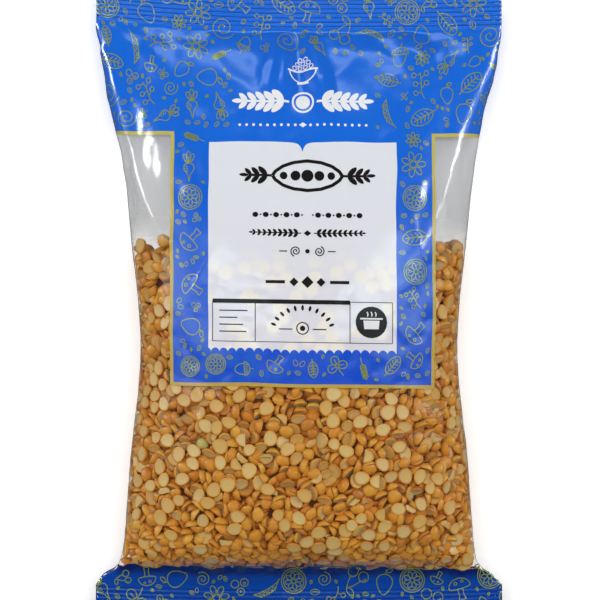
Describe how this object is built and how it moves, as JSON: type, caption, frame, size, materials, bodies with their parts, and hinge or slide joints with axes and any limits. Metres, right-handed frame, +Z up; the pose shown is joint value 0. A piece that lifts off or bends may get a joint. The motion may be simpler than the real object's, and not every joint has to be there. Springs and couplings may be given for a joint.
{
  "type": "sealed pillow pack of split yellow gram",
  "caption": "Clear film pillow pack full of split yellow gram, with crimped seals at both ends, a blue printed header and panel and a white label, lying on its back.",
  "frame": {"origin": "middle of the pack's length and width, on the surface that its back lies on", "axes": "+X across the pack to the right of its print, +Y along the pack to its top seal, +Z up out of its printed front"},
  "size_m": [0.1828, 0.2852, 0.0703],
  "materials": {
    "film": "glossy clear film over split gram",
    "print": "glossy blue printed film",
    "label": "white printed film",
    "linework": "gold printed lines",
    "gram": "dry split gram, satin"
  },
  "bodies": {
    "root": {"bag": "film"}
  },
  "joints": []
}
